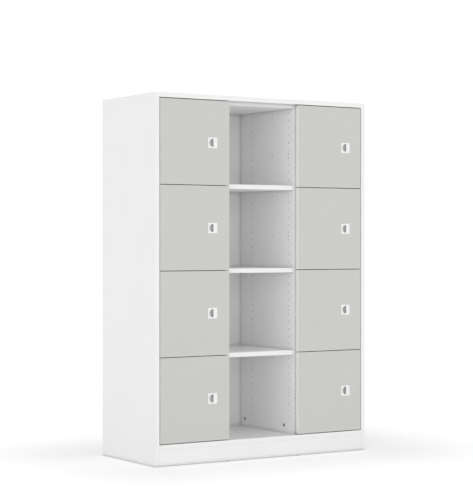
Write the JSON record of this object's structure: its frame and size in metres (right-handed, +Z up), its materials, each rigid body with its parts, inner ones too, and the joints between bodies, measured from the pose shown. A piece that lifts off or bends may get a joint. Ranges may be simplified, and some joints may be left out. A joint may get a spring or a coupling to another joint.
{
  "type": "parcel locker",
  "caption": "Free-standing board cabinet with hinged grey lockers on both sides of an open shelved bay, square recessed grip locks, and a plinth.",
  "frame": {"origin": "centre of the whole object's footprint, on the floor", "axes": "+Z up, -Y out of the door fronts, +X to the right seen from the front"},
  "size_m": [1.054, 0.4576, 1.5185],
  "materials": {
    "white_board": "white melamine-faced particle board with matching edging, satin",
    "grey_board": "light warm grey melamine-faced particle board with white edging, satin",
    "white_plastic": "white moulded plastic, semi-gloss",
    "plated_steel": "zinc-plated steel",
    "nickel_steel": "nickel-plated pressed steel",
    "zinc_alloy": "die-cast zinc, dull grey",
    "beech": "fluted beech",
    "black_plastic": "black moulded plastic, matt"
  },
  "bodies": {
    "cabinet": {"left_side_panel": "white_board", "right_side_panel": "white_board", "top_panel": "white_board", "bottom_panel": "white_board", "left_divider": "white_board", "right_divider": "white_board", "back_panel": "white_board", "plinth_board": "white_board", "open_shelf_1": "white_board", "open_shelf_2": "white_board", "open_shelf_3": "white_board", "sub_top_panel": "white_board", "locker_floors": "white_board", "carcass_dowels": "beech", "cam_fittings": "zinc_alloy", "shelf_pins": "plated_steel", "board_screws": "plated_steel", "hinge_arms": "plated_steel", "strike_plates": "plated_steel", "floor_glides": "black_plastic"},
    "door_left_1": {"left_door_1": "grey_board", "left_hinge_cups_1": "nickel_steel", "left_lock_1": "white_plastic"},
    "link_left_1": {"left_hinge_links_1": "nickel_steel"},
    "bolt_left_1": {"left_lock_bolt_1": "plated_steel"},
    "door_left_2": {"left_door_2": "grey_board", "left_hinge_cups_2": "nickel_steel", "left_lock_2": "white_plastic"},
    "link_left_2": {"left_hinge_links_2": "nickel_steel"},
    "bolt_left_2": {"left_lock_bolt_2": "plated_steel"},
    "door_left_3": {"left_door_3": "grey_board", "left_hinge_cups_3": "nickel_steel", "left_lock_3": "white_plastic"},
    "link_left_3": {"left_hinge_links_3": "nickel_steel"},
    "bolt_left_3": {"left_lock_bolt_3": "plated_steel"},
    "door_left_4": {"left_door_4": "grey_board", "left_hinge_cups_4": "nickel_steel", "left_lock_4": "white_plastic"},
    "link_left_4": {"left_hinge_links_4": "nickel_steel"},
    "bolt_left_4": {"left_lock_bolt_4": "plated_steel"},
    "door_right_1": {"right_door_1": "grey_board", "right_hinge_cups_1": "nickel_steel", "right_lock_1": "white_plastic"},
    "link_right_1": {"right_hinge_links_1": "nickel_steel"},
    "bolt_right_1": {"right_lock_bolt_1": "plated_steel"},
    "door_right_2": {"right_door_2": "grey_board", "right_hinge_cups_2": "nickel_steel", "right_lock_2": "white_plastic"},
    "link_right_2": {"right_hinge_links_2": "nickel_steel"},
    "bolt_right_2": {"right_lock_bolt_2": "plated_steel"},
    "door_right_3": {"right_door_3": "grey_board", "right_hinge_cups_3": "nickel_steel", "right_lock_3": "white_plastic"},
    "link_right_3": {"right_hinge_links_3": "nickel_steel"},
    "bolt_right_3": {"right_lock_bolt_3": "plated_steel"},
    "door_right_4": {"right_door_4": "grey_board", "right_hinge_cups_4": "nickel_steel", "right_lock_4": "white_plastic"},
    "link_right_4": {"right_hinge_links_4": "nickel_steel"},
    "bolt_right_4": {"right_lock_bolt_4": "plated_steel"}
  },
  "joints": [
    {"name": "door_hinge_left_1", "type": "hinge", "parent": "cabinet", "child": "door_left_1", "pos_m": [-0.5045, -0.22725, 0.26575], "axis": [0, 0, -1], "range_deg": [0, 95]},
    {"name": "link_turn_left_1", "type": "hinge", "parent": "cabinet", "child": "link_left_1", "pos_m": [-0.5045, -0.22725, 0.26575], "axis": [0, 0, -1], "range_deg": [0, 47.5]},
    {"name": "bolt_slide_left_1", "type": "slide", "parent": "door_left_1", "child": "bolt_left_1", "axis": [1, 0, 0], "range_m": [0, 0.01]},
    {"name": "door_hinge_left_2", "type": "hinge", "parent": "cabinet", "child": "door_left_2", "pos_m": [-0.5045, -0.22725, 0.61775], "axis": [0, 0, -1], "range_deg": [0, 95]},
    {"name": "link_turn_left_2", "type": "hinge", "parent": "cabinet", "child": "link_left_2", "pos_m": [-0.5045, -0.22725, 0.61775], "axis": [0, 0, -1], "range_deg": [0, 47.5]},
    {"name": "bolt_slide_left_2", "type": "slide", "parent": "door_left_2", "child": "bolt_left_2", "axis": [1, 0, 0], "range_m": [0, 0.01]},
    {"name": "door_hinge_left_3", "type": "hinge", "parent": "cabinet", "child": "door_left_3", "pos_m": [-0.5045, -0.22725, 0.96975], "axis": [0, 0, -1], "range_deg": [0, 95]},
    {"name": "link_turn_left_3", "type": "hinge", "parent": "cabinet", "child": "link_left_3", "pos_m": [-0.5045, -0.22725, 0.96975], "axis": [0, 0, -1], "range_deg": [0, 47.5]},
    {"name": "bolt_slide_left_3", "type": "slide", "parent": "door_left_3", "child": "bolt_left_3", "axis": [1, 0, 0], "range_m": [0, 0.01]},
    {"name": "door_hinge_left_4", "type": "hinge", "parent": "cabinet", "child": "door_left_4", "pos_m": [-0.5045, -0.22725, 1.32175], "axis": [0, 0, -1], "range_deg": [0, 95]},
    {"name": "link_turn_left_4", "type": "hinge", "parent": "cabinet", "child": "link_left_4", "pos_m": [-0.5045, -0.22725, 1.32175], "axis": [0, 0, -1], "range_deg": [0, 47.5]},
    {"name": "bolt_slide_left_4", "type": "slide", "parent": "door_left_4", "child": "bolt_left_4", "axis": [1, 0, 0], "range_m": [0, 0.01]},
    {"name": "door_hinge_right_1", "type": "hinge", "parent": "cabinet", "child": "door_right_1", "pos_m": [0.17425, -0.22725, 0.26575], "axis": [0, 0, -1], "range_deg": [0, 95]},
    {"name": "link_turn_right_1", "type": "hinge", "parent": "cabinet", "child": "link_right_1", "pos_m": [0.17425, -0.22725, 0.26575], "axis": [0, 0, -1], "range_deg": [0, 47.5]},
    {"name": "bolt_slide_right_1", "type": "slide", "parent": "door_right_1", "child": "bolt_right_1", "axis": [1, 0, 0], "range_m": [0, 0.01]},
    {"name": "door_hinge_right_2", "type": "hinge", "parent": "cabinet", "child": "door_right_2", "pos_m": [0.17425, -0.22725, 0.61775], "axis": [0, 0, -1], "range_deg": [0, 95]},
    {"name": "link_turn_right_2", "type": "hinge", "parent": "cabinet", "child": "link_right_2", "pos_m": [0.17425, -0.22725, 0.61775], "axis": [0, 0, -1], "range_deg": [0, 47.5]},
    {"name": "bolt_slide_right_2", "type": "slide", "parent": "door_right_2", "child": "bolt_right_2", "axis": [1, 0, 0], "range_m": [0, 0.01]},
    {"name": "door_hinge_right_3", "type": "hinge", "parent": "cabinet", "child": "door_right_3", "pos_m": [0.17425, -0.22725, 0.96975], "axis": [0, 0, -1], "range_deg": [0, 95]},
    {"name": "link_turn_right_3", "type": "hinge", "parent": "cabinet", "child": "link_right_3", "pos_m": [0.17425, -0.22725, 0.96975], "axis": [0, 0, -1], "range_deg": [0, 47.5]},
    {"name": "bolt_slide_right_3", "type": "slide", "parent": "door_right_3", "child": "bolt_right_3", "axis": [1, 0, 0], "range_m": [0, 0.01]},
    {"name": "door_hinge_right_4", "type": "hinge", "parent": "cabinet", "child": "door_right_4", "pos_m": [0.17425, -0.22725, 1.32175], "axis": [0, 0, -1], "range_deg": [0, 95]},
    {"name": "link_turn_right_4", "type": "hinge", "parent": "cabinet", "child": "link_right_4", "pos_m": [0.17425, -0.22725, 1.32175], "axis": [0, 0, -1], "range_deg": [0, 47.5]},
    {"name": "bolt_slide_right_4", "type": "slide", "parent": "door_right_4", "child": "bolt_right_4", "axis": [1, 0, 0], "range_m": [0, 0.01]}
  ],
  "couplings": [
    {"joint": "link_turn_left_1", "follows": "door_hinge_left_1", "ratio": 0.5},
    {"joint": "link_turn_left_2", "follows": "door_hinge_left_2", "ratio": 0.5},
    {"joint": "link_turn_left_3", "follows": "door_hinge_left_3", "ratio": 0.5},
    {"joint": "link_turn_left_4", "follows": "door_hinge_left_4", "ratio": 0.5},
    {"joint": "link_turn_right_1", "follows": "door_hinge_right_1", "ratio": 0.5},
    {"joint": "link_turn_right_2", "follows": "door_hinge_right_2", "ratio": 0.5},
    {"joint": "link_turn_right_3", "follows": "door_hinge_right_3", "ratio": 0.5},
    {"joint": "link_turn_right_4", "follows": "door_hinge_right_4", "ratio": 0.5}
  ]
}
